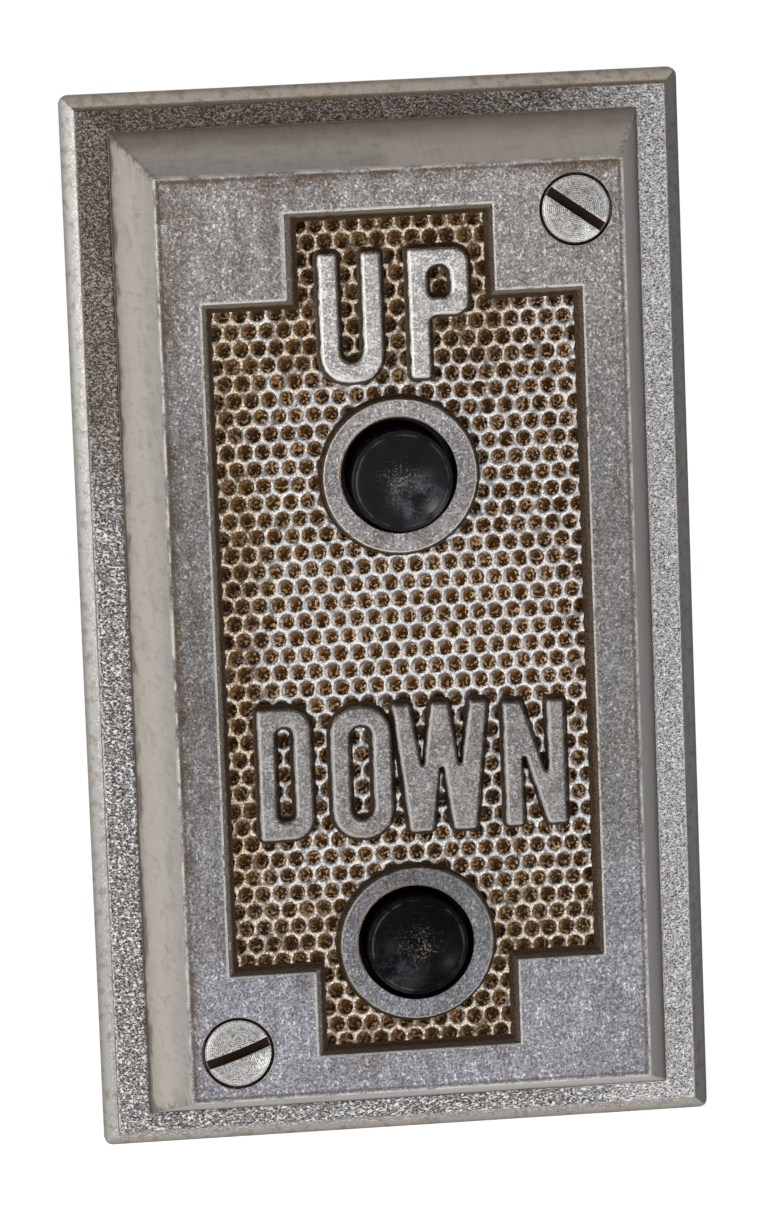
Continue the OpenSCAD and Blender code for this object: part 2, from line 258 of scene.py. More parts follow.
def sandy_skin(place):
    """Colour and height of the fine grain that the mould left, with cloudy tarnish, a few dark specks and
    painted glints.
    """
    x, _, z = split(place)
    grain = noise(place, 3.4, 3)
    fine = noise(place, 6.5, 2)
    mottle = noise(place, 1.1, 3)
    cloud = noise(place, 0.07, 2)
    streak = noise(place, 0.35, 3, (1, 1, 0.3))
    patches = cloud * 0.5 + streak * 0.5
    speckle = grain * 0.55 + fine * 0.30 + mottle * 0.15
    skin = blend(ramp(speckle, 0.39, 0.61), (0.110, 0.105, 0.104), (0.31, 0.298, 0.294))
    skin = tinted(ramp(patches, 0.60, 0.40), skin, (0.82, 0.81, 0.80))
    brown = ramp(streak + cloud * 0.4 + x * 0.002 - z * 0.0008, 0.68, 0.50)
    skin = tinted(brown, skin, (0.86, 0.81, 0.77))
    # Lighter towards both ends and the top of the face, and lighter and bluer towards the bottom: painted
    # cool light.
    skin = tinted(ramp(abs(z), 18, 52), skin, (1.24, 1.23, 1.23))
    skin = tinted(ramp(z, 22, 52), skin, (1.16, 1.15, 1.14))
    skin = tinted(ramp(z, -10, -50), skin, (1.12, 1.17, 1.31))
    # Painted glints: small flecks almost twice as light as the skin, which also lift its bump a little.
    bright = ramp(noise(place, 2.7, 2, (1, 1, 0.8)), 0.55, 0.66)
    skin = tinted(bright, skin, (1.95, 1.95, 1.96))
    skin = blend(ramp(noise(place, 2.4, 2), 0.71, 0.75) * 0.6, skin, SOOT_AND_SHADE)
    return skin, grain * 0.4 + fine * 0.2 + bright * 0.25


def worn_outline(shape):
    """Opens the worn upper edges of a casting: the recess's left and top lips and each bore's upper left."""
    for vert in shape.verts:
        x, off_wall, z = vert.co.x / MM, -vert.co.y / MM, vert.co.z / MM
        share = (off_wall - FACE_LEVEL + EASE) / EASE
        if share < 0:
            continue
        near = 0.5
        left = abs(x + FIELD_HALF[0]) < near and abs(z) < FIELD_HALF[1] + near
        left = left or abs(x + TAB_HALF[0]) < near and FIELD_HALF[1] - near < abs(z) < TAB_HALF[1] + near
        top = abs(z - TAB_HALF[1]) < near and abs(x) < TAB_HALF[0] + near
        top = top or abs(z - FIELD_HALF[1]) < near and TAB_HALF[0] - near < abs(x) < FIELD_HALF[0] + near
        on_tab = left and z > FIELD_HALF[1] - near and x > -TAB_HALF[0] - near
        vert.co.x -= left * (WORN_TAB if on_tab else WORN_LIP) * share * MM
        vert.co.z += top * WORN_LIP * share * MM
        for height in BUTTON_Z.values():
            reach = math.hypot(x, z - height)
            if abs(reach - BORE_RADIUS - EASE / 2) < EASE:
                towards = max((z - height - x) / reach / math.sqrt(2), 0)
                vert.co.x += x / reach * WORN_BORE * towards * share * MM
                vert.co.z += (z - height) / reach * WORN_BORE * towards * share * MM


def sunk_floor(shape):
    """Lowers the flat floor of the recess, so that the dimples can be let into it."""
    floor = [face for face in shape.faces if face.normal.y < -0.99
             and all(abs(vert.co.y / MM + FLOOR_LEVEL) < 0.01 for vert in face.verts)]
    made = bmesh.ops.extrude_face_region(shape, geom=floor)["geom"]
    moved = [item for item in made if isinstance(item, bmesh.types.BMVert)]
    bmesh.ops.translate(shape, verts=moved, vec=(0, POCKET_DEPTH * MM, 0))
    bmesh.ops.delete(shape, geom=floor, context="FACES_ONLY")


casting_finish, place = new_finish("worn_sand_casting")
x, y, z = split(place)
off_wall = -y
normal_x, _, normal_z = surface_normal(place)
to_side = FACE_HALF[0] - abs(x)
to_end = FACE_HALF[1] - abs(z)
from_edge = to_side.math("MINIMUM", to_side, to_end)
on_side = ramp(to_end - to_side, -0.05, 0.05)
on_right = ramp(x, -1, 1)
on_top = ramp(z, -1, 1)
top_end = on_top * (1 - on_side)
skin, grain = sandy_skin(place)
smudge = noise(place, 0.3, 3)
broken = noise(place, 0.9, 3)

# The face's own edges
by_left_or_top = ramp(to_side, 2.2, 0.3) * (1 - on_right)
by_left_or_top = larger(by_left_or_top, ramp(to_end, 2.2, 0.3) * on_top)
metal = tinted(by_left_or_top * ramp(smudge, 0.35, 0.6), skin, (0.52, 0.43, 0.36))
metal = blend(ramp(abs(from_edge - 0.5), 0.30, 0.05) * 0.65, metal, (0.11, 0.078, 0.05))

# The slopes
on_slope = ramp(from_edge, -0.05, -0.30) * ramp(off_wall, BAND_LEVEL - 0.3, BAND_LEVEL + 0.2)
climb = (off_wall - BAND_LEVEL) / (FACE_LEVEL - BAND_LEVEL)
# Painted light and shade: the left slope is pale and the right one dark, and the top slope starts paler than
# the bottom one.
side_light_and_shade = blend(on_right, (0.43, 0.395, 0.355), (0.112, 0.104, 0.100))
end_light_and_shade = blend(on_top, (0.27, 0.25, 0.235), (0.40, 0.355, 0.315))
slope = blend(on_side, end_light_and_shade, side_light_and_shade)
greyer = ramp(climb + (smudge - 0.5) * 0.3, 0.35, 1.0) * (1 - on_right)
slope = tinted(greyer, slope, (0.72, 0.74, 0.77))
brushed = noise(place, 2.4, 3, (1.4, 0.04, 0.04)) * (1 - on_side)
brushed = brushed + noise(place, 2.4, 3, (0.04, 0.04, 1.4)) * on_side
slope = tinted(ramp(brushed, 0.44, 0.66), slope, (0.93, 0.92, 0.91))
scuff = ramp(noise(place, 0.8, 4, (1, 0.5, 1)), 0.56, 0.66)
slope = tinted(scuff * (1 - on_right) * 0.5, slope, (0.76, 0.72, 0.67))
slope = tinted(ramp(smudge, 0.52, 0.70) * 0.35, slope, (0.70, 0.66, 0.62))
foot_line = ramp(climb, 0.05, 0.02) * (1 - top_end)
slope = blend(foot_line * 0.7, slope, (0.06, 0.042, 0.028))
# Brown towards the foot of the slopes: grime, with painted shade that climbs most of the way up the top
# slope.
reach = 0.14 + top_end * 0.50 + on_right * on_side * 0.1
foot_grime_and_shade = ramp(climb + (smudge - 0.5) * 0.5, reach, reach * 0.15)
slope = blend(foot_grime_and_shade * (0.65 - top_end * 0.15), slope, GRIME_AND_SHADE_BROWN)
mitre = ramp(abs(to_side - to_end), 1.1, 0.1) * ramp(broken, 0.40, 0.58)
slope = blend(mitre * 0.6, slope, (0.085, 0.062, 0.045))
# A broken tan line high on the top slope, by the face's edge: a worn arris with painted highlight.
top_edge_highlight = top_end * ramp(climb, 0.93, 0.97) * ramp(broken, 0.3, 0.5)
slope = blend(top_edge_highlight * 0.8, slope, (0.36, 0.285, 0.195))
metal = blend(on_slope, metal, slope)

# The outer bevel and edge
out_side = abs(x) - (PLATE_HALF[0] - EDGE_BEVEL)
out_end = abs(z) - (PLATE_HALF[1] - EDGE_BEVEL)
outside = larger(out_side, out_end)
on_bevel = ramp(outside, -0.05, 0.1)
bevel_side = ramp(out_side - out_end, -0.05, 0.05)
# Painted light on the outer bevel: pale on the left and the top, dark on the right and the bottom, with
# painted sparkle except on the right, and darker towards its outer rim.
bevel_ends = blend(on_top, (0.27, 0.252, 0.235), (0.47, 0.415, 0.355))
bevel_sides = blend(on_right, (0.36, 0.352, 0.34), (0.125, 0.118, 0.114))
bevel = blend(bevel_side, bevel_ends, bevel_sides)
bevel = tinted(ramp(broken, 0.48, 0.68), bevel, (0.72, 0.68, 0.63))
painted_bevel_sparkle = ramp(noise(place, 3.2, 2), 0.52, 0.64) * ramp(outside, 1.3, 0.3) * (1 - on_right * bevel_side)
bevel = blend(painted_bevel_sparkle * 0.75, bevel, (0.60, 0.575, 0.545))
bevel = tinted(ramp(outside, 1.1, 1.75), bevel, (0.66, 0.64, 0.62))
metal = blend(on_bevel, metal, bevel)
brown_line = ramp(abs(outside - 0.1), 0.42, 0.1) * on_top * (1 - bevel_side)
metal = blend(brown_line * 0.8, metal, (0.10, 0.058, 0.022))

# Where hands have rubbed the arrises bright and where lacquer and grime have stayed. The walls below the face
# carry painted light and shade, and the bores painted shade.
worn = ramp(abs(from_edge), 0.32, 0.05) * ramp(smudge * 0.7 + broken * 0.6, 0.50, 0.78)
metal = blend(worn * 0.85, metal, (0.60, 0.58, 0.545))
inside = ramp(from_edge, 1.5, 2.2)
below_face = FACE_LEVEL - off_wall
lip = inside * ramp(below_face, 0.005, 0.03) * ramp(below_face, 0.28, 0.16)
wall = inside * ramp(below_face, 0.12, 0.26)
wall_foot = inside * ramp(below_face - (broken - 0.5) * 0.4, 0.60, 0.95)
# Painted light and shade on the walls below the face: walls that face right are lit sandy metal, walls that
# face down tan brown, the rest dark brown, and their worn lips are lighter where lit.
faces_right = ramp(normal_x, 0.2, 0.5)
faces_down = ramp(-normal_z, 0.2, 0.5)
sandy_wall = blend(ramp(grain, 0.42, 0.60), (0.15, 0.12, 0.092), (0.42, 0.37, 0.32))
wall_light_and_shade = blend(faces_down, (0.046, 0.030, 0.017), (0.15, 0.115, 0.075))
wall_light_and_shade = blend(faces_right, wall_light_and_shade, sandy_wall)
metal = blend(wall * 0.95, metal, wall_light_and_shade)
lit = larger(faces_right, faces_down)
metal = blend(lip * (0.45 + lit * 0.45) * ramp(broken, 0.30, 0.46), metal, (0.66, 0.64, 0.60))
# Deeper than about 0.6 mm below the face the metal turns near black brown.
metal = blend(wall_foot * 0.92, metal, (0.034, 0.018, 0.007))
for which, height in BUTTON_Z.items():
    reach = radius_about(x, z, 0, height)
    on_ring = ramp(reach, RING_RADIUS + 0.175, RING_RADIUS - 0.125) * ramp(below_face, 0.3, 0.1)
    metal = tinted(on_ring, metal, [RING_TONE[which]] * 3)
    in_bore = ramp(reach, BORE_RADIUS + 0.9, BORE_RADIUS + 0.3) * ramp(below_face, 0, 0.06)
    metal = blend(in_bore * 0.85, metal, (0.17, 0.105, 0.055))
    # Painted shade: the wall of each bore is near black.
    metal = blend(ramp(reach, BORE_RADIUS + 0.1, BORE_RADIUS) * 0.8, metal, SOOT_AND_SHADE)
smooth = larger(on_slope, on_bevel)
rough_skin = grain * (1 - smooth * 0.9) + brushed * on_slope * 0.04
finish(casting_finish, base_color=metal, metallic=0.45, roughness=0.22 + 0.14 * grain + smooth * 0.14,
       specular_ior_level=0.2, normal=bumped(rough_skin, 0.22))
casting = eased("cast_faceplate", "faceplate", casting_finish, "panel", EASE,
                segments=3, sharp=14)
shape = bmesh.new()
shape.from_mesh(casting.data)
worn_outline(shape)
sunk_floor(shape)
shape.to_mesh(casting.data)
shape.free()

# Stippled border: the sloping band around the foot of the casting, part of the same pour.
# The pattern was stippled with a punch, so its skin is a crowd of small rounded pebbles. The crests are
# rubbed bright and the gaps are dark. The right side is painted lighter and bluer, as lit, and the top and
# the upper left are painted brown shade with painted golden glints.
BAND_STEP = 0.14
PEBBLE_LIFT = 0.24
PEBBLES_PER_MM = 2.9
band_outer = [half - EDGE_BEVEL for half in PLATE_HALF]
band_inner = [outer - width for outer, width in zip(band_outer, BAND_WIDTH)]


def node_tree(name, sizes):
    """A Geometry Nodes tree with one named input for each size, and the Signals of its inputs."""
    tree = bpy.data.node_groups.new(name, "GeometryNodeTree")
    tree.interface.new_socket("Geometry", in_out="INPUT", socket_type="NodeSocketGeometry")
    for key, value in sizes.items():
        kind = "NodeSocketInt" if isinstance(value, int) else "NodeSocketFloat"
        tree.interface.new_socket(key, in_out="INPUT", socket_type=kind)
    tree.interface.new_socket("Geometry", in_out="OUTPUT", socket_type="NodeSocketGeometry")
    start = tree.nodes.new("NodeGroupInput")
    return tree, [Signal(tree, socket) for socket in start.outputs][:1 + len(sizes)]


def shaped(tree, result, material, mesh, sizes):
    """Ends the tree, runs it on a mesh and gives what it makes as a plain mesh."""
    placed = result.node("GeometryNodeRealizeInstances", {}, {0: result})
    dressed = placed.node("GeometryNodeSetMaterial", {}, {"Geometry": placed, "Material": material})
    end = tree.nodes.new("NodeGroupOutput")
    tree.links.new(dressed.socket, end.inputs[0])
    blank = bpy.data.objects.new(tree.name, mesh)
    bpy.context.scene.collection.objects.link(blank)
    modifier = blank.modifiers.new(tree.name, "NODES")
    modifier.node_group = tree
    for item in tree.interface.items_tree:
        if item.name in sizes:
            modifier[item.identifier] = sizes[item.name]
    made = bpy.data.meshes.new_from_object(blank.evaluated_get(bpy.context.evaluated_depsgraph_get()))
    made.name = tree.name
    bpy.data.objects.remove(blank)
    return made


def shifted(points, offset):
    """Points of a Geometry Nodes tree, moved by an offset."""
    return points.node("GeometryNodeSetPosition", {}, {"Geometry": points, "Offset": offset})


def vertex(shape, x, off_wall, z):
    """A new point of a shape, given in millimetres."""
    return shape.verts.new((x * MM, -off_wall * MM, z * MM))


def face_off_wall(shape):
    """Turns the faces of an open sheet away from the wall."""
    bmesh.ops.recalc_face_normals(shape, faces=shape.faces)
    if sum(face.normal.y for face in shape.faces) > 0:
        bmesh.ops.reverse_faces(shape, faces=shape.faces)


def band_mesh():
    """The band as four mitred strips of small squares, with the share across it kept on each point."""
    shape = bmesh.new()
    across = shape.verts.layers.float.new("across")
    rows = round(max(BAND_WIDTH) / BAND_STEP)
    for axis, sign in ((0, 1), (0, -1), (1, 1), (1, -1)):
        columns = round(2 * band_outer[1 - axis] / BAND_STEP)
        grid = []
        for row in range(rows + 1):
            share = row / rows
            half = [outer + (inner - outer) * share for outer, inner in zip(band_outer, band_inner)]
            level = EDGE_LEVEL + (BAND_LEVEL - EDGE_LEVEL) * share
            line = []
            for column in range(columns + 1):
                along = half[1 - axis] * (2 * column / columns - 1)
                point = (sign * half[0], along) if axis == 0 else (along, sign * half[1])
                vert = vertex(shape, point[0], level, point[1])
                vert[across] = share
                line.append(vert)
            grid.append(line)
        for low, high in zip(grid, grid[1:]):
            for a, b, c, d in zip(low, low[1:], high[1:], high):
                shape.faces.new((a, b, c, d))
    bmesh.ops.remove_doubles(shape, verts=shape.verts, dist=BAND_STEP * MM / 4)
    face_off_wall(shape)
    return as_mesh(shape, "band")


def pebble_height(place, count):
    """Height of the stippled skin, from 0 in its gaps to about 1 on its crests."""
    cell = place.node("ShaderNodeTexVoronoi", {"feature": "SMOOTH_F1"}, {"Vector": place, "Scale": count})
    dome = 1 - ramp(cell, 0.1, 0.75)
    return dome * 0.3 + noise(place, 3.4, 2, (1, 1, 1.5)) * 0.9


band_sizes = {"Pebbles per mm": PEBBLES_PER_MM, "Lift": PEBBLE_LIFT * MM}
tree, (surface, count, lift) = node_tree("stippled_border", band_sizes)
where = scaled(surface.node("GeometryNodeInputPosition", {}, {}), 1 / MM)
share = surface.node("GeometryNodeInputNamedAttribute", {"data_type": "FLOAT"}, {"Name": "across"})
fade = ramp(share, 0.0, 0.06) * ramp(share, 1.0, 0.94)
height = pebble_height(where, count) * fade - (1 - fade) * 0.3
outward = surface.node("GeometryNodeInputNormal", {}, {})
result = shifted(surface, scaled(outward, height * lift))

band_finish, place = new_finish("stippled_casting")
x, _, z = split(place)
lit_side = ramp(x, 20, 34)
fine = noise(place, 5.2, 3, (0.8, 1, 1.3))
crest = ramp(pebble_height(place, PEBBLES_PER_MM) * 0.35 + fine * 0.9 + lit_side * 0.05, 0.54, 0.84)
cloud = noise(place, 0.09, 3)
shade = ramp(z * 0.8 - x * 0.55 + (cloud - 0.5) * 50, 14, 58)
pebble_metal = blend(crest, (0.045, 0.039, 0.036), (0.46, 0.45, 0.443))
pebble_metal = tinted(lit_side, pebble_metal, (1.50, 1.51, 1.56))
pebble_metal = blend(shade * (1 - crest * 0.30) * 0.92, pebble_metal, GRIME_AND_SHADE_BROWN)
across = place.node("ShaderNodeAttribute", {"attribute_name": "across"}, {}, "Fac")
# Painted sparkle: small near white flecks, fewest in the painted shade.
painted_band_sparkle = ramp(noise(place, 2.9, 2, (0.8, 1, 1.2)), 0.50 - lit_side * 0.02, 0.62) * (1 - shade * 0.8)
pebble_metal = blend(painted_band_sparkle * 0.85, pebble_metal, (0.95, 0.94, 0.94))
# Edges rubbed bright: along the inner edge on the right, as wear with painted highlight, and in patches along
# the outer edge, least in the painted shade.
rubbed = ramp(across, 0.92, 0.97) * ramp(x, 10, 30)
rubbed = rubbed + ramp(across, 0.10, 0.03) * ramp(noise(place, 1.6, 2), 0.42, 0.56)
pebble_metal = blend(rubbed * (1 - shade) * 0.8, pebble_metal, (0.74, 0.73, 0.71))
glint = ramp(noise(place, 4.2, 1), 0.62, 0.70) * shade
pebble_metal = blend(glint * 0.7, pebble_metal, (0.52, 0.42, 0.27))
finish(band_finish, base_color=pebble_metal, metallic=0.55, roughness=0.18 + 0.12 * cloud,
       specular_ior_level=0.2, normal=bumped(fine + painted_band_sparkle * 0.3, 0.22))
border = new_piece("stippled_border", shaped(tree, result, band_finish, band_mesh(), band_sizes), band_finish,
                   "panel")
border.data.shade_smooth()

# Dimple field: the floor of the stepped recess, part of the same casting.
# Its pattern was punched with staggered rows of round pits, so thin webs stand between them. The webs are
# rubbed bright and the pits keep brown lacquer. Light and shade are painted on the pits: walls that face
# right and down are silver, most of all in mid panel, walls that face up and left and the centres are black,
# and they carry painted highlights and golden glints.
PIT_PITCH = 2.18
ROW_PITCH = 2.15
WEB_LEVEL = FLOOR_LEVEL - 0.01
PIT_RINGS = ((1.04, 0.03), (0.90, 0.16), (0.66, 0.48), (0.36, 0.69))
PIT_DEPTH = 0.72
PUNCHED_HALF = (23.6, 42.2)
PUNCHED_TAB_HALF = (12.7, 53.0)
RING_FOOT = 8.6
PIT_SHIFT = 0.09
PUNCH_LEAN = 0.24
SHIFT_SEED = 7
FIELD_WELD = 0.02


def skinned(shape, rings):
    """Faces between each closed ring of points and the next."""
    for low, high in zip(rings, rings[1:]):
        for i in range(len(low)):
            shape.faces.new((low[i - 1], low[i], high[i], high[i - 1]))


def cell_mesh():
    """One pit with its share of the web around it, with its depth kept on each point."""
    side = PIT_PITCH / 2
    corner = (ROW_PITCH ** 2 - side ** 2) / (2 * ROW_PITCH)
    top = (ROW_PITCH ** 2 + side ** 2) / (2 * ROW_PITCH)
    quarter = [(side, 0), (side, corner), (side / 2, (corner + top) / 2), (0, top)]
    upper = quarter + [(-x, z) for x, z in quarter[-2::-1]]
    border = upper + [(x, -z) for x, z in upper[-2:0:-1]]
    shape = bmesh.new()
    sink = shape.verts.layers.float.new("sink")
    loops = [[vertex(shape, x, 0, z) for x, z in border]]
    for radius, depth in PIT_RINGS:
        loop = []
        for x, z in border:
            reach = radius / math.hypot(x, z)
            vert = vertex(shape, x * reach, -depth, z * reach)
            vert[sink] = depth / PIT_DEPTH
            loop.append(vert)
        loops.append(loop)
    floor = vertex(shape, 0, -PIT_DEPTH, 0)
    floor[sink] = 1
    skinned(shape, [loop[::-1] for loop in loops])
    last = loops[-1]
    for here, ahead in zip(last, last[1:] + last[:1]):
        shape.faces.new((ahead, here, floor))
    face_off_wall(shape)
    return as_mesh(shape, "pit")


def under(value, limit):
    """1 where a value is less than a limit, else 0."""
    return value.math("LESS_THAN", value, limit)


columns = math.ceil(2 * PUNCHED_HALF[0] / PIT_PITCH) + 3
rows = math.ceil(2 * PUNCHED_TAB_HALF[1] / ROW_PITCH) + 3
field_sizes = {"Columns": columns, "Rows": rows, "Column pitch": PIT_PITCH * MM, "Row pitch": ROW_PITCH * MM,
               "Web level": WEB_LEVEL * MM, "Ring foot": RING_FOOT * MM, "Unevenness": PIT_SHIFT * MM,
               "Punch lean": PUNCH_LEAN * MM, "Seed": SHIFT_SEED}
tree, inputs = node_tree("dimple_field", field_sizes)
cell, across, up, pitch, rise, level, ring_foot, uneven, lean, seed = inputs
grid = cell.node("GeometryNodeMeshGrid", {}, {"Size X": pitch * (across - 1), "Size Y": rise * (up - 1),
                                              "Vertices X": across, "Vertices Y": up})
x, y, z = split(cell.node("GeometryNodeInputPosition", {}, {}))
row = y / rise + up * 2
row = row.math("ROUND", row)
odd = row.math("MODULO", row, 2.0)
spot = cell.node("ShaderNodeCombineXYZ", {}, {0: x + odd * pitch * 0.5 - pitch * 0.25, 1: -level, 2: y})
spots = cell.node("GeometryNodeSetPosition", {}, {"Geometry": grid, "Position": spot})
kept = larger(*[under(abs(x), half_width * MM) * under(abs(z), half_height * MM)
                for half_width, half_height in (PUNCHED_HALF, PUNCHED_TAB_HALF)])
for height in BUTTON_Z.values():
    kept = kept * under(ring_foot, radius_about(x, z, 0, height * MM))
spots = spots.node("GeometryNodeDeleteGeometry", {"domain": "POINT"},
                   {"Geometry": spots, "Selection": under(kept, 0.5)})
pits = spots.node("GeometryNodeInstanceOnPoints", {}, {"Points": spots, "Instance": cell})
chance = pits.node("FunctionNodeRandomValue", {"data_type": "FLOAT_VECTOR"},
                   {"Min": (-1, -1, -1), "Max": (1, 1, 1), "Seed": seed})
pits = pits.node("GeometryNodeStoreNamedAttribute", {"data_type": "FLOAT_VECTOR", "domain": "INSTANCE"},
                 {"Geometry": pits, "Name": "chance", "Value": chance})
pits = pits.node("GeometryNodeRealizeInstances", {}, {0: pits})
sink = pits.node("GeometryNodeInputNamedAttribute", {"data_type": "FLOAT"}, {"Name": "sink"})
chance = pits.node("GeometryNodeInputNamedAttribute", {"data_type": "FLOAT_VECTOR"}, {"Name": "chance"})
pits = shifted(pits, scaled(chance, uneven * ramp(sink, 0.0, 0.3)))
sideways = x / (PUNCHED_HALF[0] * MM)
punched = lean * ramp(sink, 0.1, 0.8)
rightward = punched * (0.6 - abs(sideways) * 0.5)
upward = punched * (0.7 + larger(sideways, 0.0) * 0.4)
leaning = pits.node("ShaderNodeCombineXYZ", {}, {0: rightward, 1: 0.0, 2: upward})
pits = shifted(pits, leaning)
result = pits.node("GeometryNodeMergeByDistance", {}, {"Geometry": pits, "Distance": FIELD_WELD * MM})

field_finish, place = new_finish("dimpled_casting")
x, y, z = split(place)
depth = y + WEB_LEVEL
normal_x, _, normal_z = surface_normal(place)
facing = normal_x - normal_z
cloud = noise(place, 0.10, 3)
fine = noise(place, 4.5, 3)
uneven = (cloud - 0.5) * 8
left_dirt = ramp(uneven - x, 15, 21)
tab_dirt = ramp(z + uneven, 29, 36) * ramp(abs(x), 17, 13)
low_dirt = ramp(uneven - z, 26, 40) * 0.8
dirt = larger(larger(left_dirt, tab_dirt), low_dirt)
ledge = blend(ramp(fine, 0.38, 0.64), (0.10, 0.095, 0.093), (0.34, 0.325, 0.315))
ledge = tinted(dirt * 0.9, ledge, (0.48, 0.32, 0.18))
middle = ramp(abs(z + 1) + uneven * 0.4, 14, 8) * ramp(abs(x - 1), 20, 15)
rubbed = ramp(noise(place, 1.3, 3) + middle * 0.08 - dirt * 0.02, 0.32, 0.54)
ridge = ramp(depth + (fine - 0.5) * 0.24, 0.05, -0.01) * rubbed
silver = blend(ridge, ledge, blend(dirt, (0.96, 0.93, 0.91), (0.92, 0.78, 0.60)))
# Painted light: in mid panel, pit walls that face right and down are bluish grey silver.
crescent = blend(ramp(fine, 0.40, 0.60), (0.17, 0.175, 0.200), (0.44, 0.44, 0.48))
silver = blend(ramp(facing, 0.15, 0.60) * middle, silver, crescent)
# Painted highlight: near white on pit walls that face right and a little up, most in mid panel.
painted_pit_highlight = ramp(normal_x + normal_z * 0.5 + (fine - 0.5) * 0.6, 0.42, 0.66)
silver = blend(painted_pit_highlight * (0.3 + middle * 0.6), silver, (0.96, 0.93, 0.90))
lacquer = blend(ramp(fine + cloud * 0.4, 0.50, 0.80), (0.060, 0.022, 0.003), (0.31, 0.130, 0.024))
lacquer = blend(middle * 0.5, lacquer, (0.27, 0.125, 0.030))
shaded = ramp(facing + (fine - 0.5) * 0.5 + middle * 0.10, 0.42, -0.20)
shaded = larger(shaded, ramp(depth, 0.40, 0.62) * (0.75 - middle * 0.6))
lacquer = blend(shaded * (0.90 - middle * 0.07), lacquer, (0.008, 0.004, 0.001))
glint = ramp(noise(place, 2.6, 2), 0.52, 0.60) * ramp(depth, 0.74, 0.55)
lacquer = blend(glint * (0.85 - dirt * 0.45), lacquer, (0.72, 0.50, 0.29))
# Painted light, with wear: pit walls that face right and down shed their lacquer and show silver, most of all
# in mid panel.
worn = 0.05 + middle * 0.42
tarnish = ramp(depth + (fine - 0.5) * 0.10 + dirt * 0.04 - middle * 0.08 - facing * worn, 0.12, 0.20)
field_metal = blend(tarnish, silver, lacquer)
finish(field_finish, base_color=field_metal, metallic=0.45 - tarnish * 0.35, roughness=0.14 + fine * 0.14,
       specular_ior_level=0.10, normal=bumped(fine, 0.08))
field = new_piece("dimple_field", shaped(tree, result, field_finish, cell_mesh(), field_sizes), field_finish,
                  "panel")
field.data.shade_smooth()

# Words: UP over one button and DOWN over the other, block letters raised on the floor of the recess.
# They belong to the same casting, with drafted sides that leave the mould and soft sandy silver tops.
# Brown lacquer lies around their feet.
LETTER_FOOT = FACE_LEVEL - 2.0
LETTER_RINGS = ((0.40, 0.0), (0.40, 0.66), (0.18, 0.82), (0.02, 1.15),
                (-0.11, 1.46), (-0.25, 1.72), (-0.40, 1.85), (-0.54, 1.90))
ARC_STEPS = 6
NOTCH_SHARE = 0.9
LETTER_CORNER = 0.6
LETTERS = {
    "U": [[(-4.0, 8.2), (-4.0, -8.2, 3.4), (4.0, -8.2, 3.4), (4.0, 8.2), (1.4, 8.2),
           (1.4, -5.5, 1.3), (-1.4, -5.5, 1.3), (-1.4, 8.2)]],
    "P": [[(-3.85, 8.2), (-3.85, -8.2), (-1.15, -8.2), (-1.15, -0.4, 0.8),
           (3.85, -0.4, 2.0), (3.85, 8.2, 2.0)],
          [(-1.3, 5.9, 1.3), (1.45, 5.9, 1.3), (1.45, 2.0, 0.8), (-1.3, 2.0, 0.8)]],
    "D": [[(-3.45, 8.45), (-3.45, -8.45), (3.45, -8.45, 2.9), (3.45, 8.45, 2.9)],
          [(-1.1, 5.9, 0.9), (1.05, 5.9, 0.9), (1.05, -5.9, 0.9), (-1.1, -5.9, 0.8)]],
    "O": [[(-3.9, 8.5, 3.7), (-3.9, -8.5, 3.7), (3.9, -8.5, 3.7), (3.9, 8.5, 3.7)],
          [(-1.35, 5.9, 1.3), (1.35, 5.9, 1.3), (1.35, -5.9, 1.3), (-1.35, -5.9, 1.3)]],
    "W": [[(-6.1, 8.25), (-4.3, -8.25), (-1.2, -8.25), (0, 0.9, 0.16), (1.2, -8.25), (4.3, -8.25),
           (6.1, 8.25), (3.7, 8.25), (2.35, -0.6, 0.16), (1.2, 8.25), (-1.2, 8.25),
           (-2.35, -0.6, 0.16), (-3.7, 8.25)]],
    "N": [[(-3.95, 8.0), (-3.95, -8.0), (-1.5, -8.0), (-1.5, 1.6, 0.16), (1.4, -8.0), (3.95, -8.0),
           (3.95, 8.0), (1.6, 8.0), (1.6, -1.9, 0.16), (-1.5, 8.0)]]}
WORDS = (("U", -5.33, 39.97), ("P", 5.72, 40.06), ("D", -15.68, -16.97), ("O", -6.09, -17.26),
         ("W", 3.97, -17.07), ("N", 15.76, -17.23))


def rounded(corners):
    """The points of an outline whose corners, each (x, z) or (x, z, radius), are rounded by arcs.

    With each point goes how far it may move outwards: in a notch, less than the radius of its arc.
    """
    line = []
    for i, (x, z, *own_radius) in enumerate(corners):
        radius = own_radius[0] if own_radius else LETTER_CORNER
        corner = Vector((x, z))
        back = (Vector(corners[i - 1][:2]) - corner).normalized()
        ahead = (Vector(corners[(i + 1) % len(corners)][:2]) - corner).normalized()
        half = back.angle(ahead) / 2
        middle = corner + (back + ahead).normalized() * radius / math.sin(half)
        start = corner + back * radius / math.tan(half) - middle
        turn = start.angle_signed(corner + ahead * radius / math.tan(half) - middle)
        in_notch = back.y * ahead.x < back.x * ahead.y
        room = radius * NOTCH_SHARE if in_notch else math.inf
        for step in range(ARC_STEPS + 1):
            line.append((middle + Matrix.Rotation(-turn * step / ARC_STEPS, 2) @ start, room))
    return line


def grown(line, amount):
    """An outline moved outwards by so many millimetres, to the right of its own direction."""
    moved = []
    for i, (point, room) in enumerate(line):
        first = (point - line[i - 1][0]).normalized()
        second = (line[(i + 1) % len(line)][0] - point).normalized()
        along = (first + second).normalized()
        reach = min(amount, room) / max(along.dot(first), 0.3)
        moved.append(point + Vector((along.y, -along.x)) * reach)
    return moved


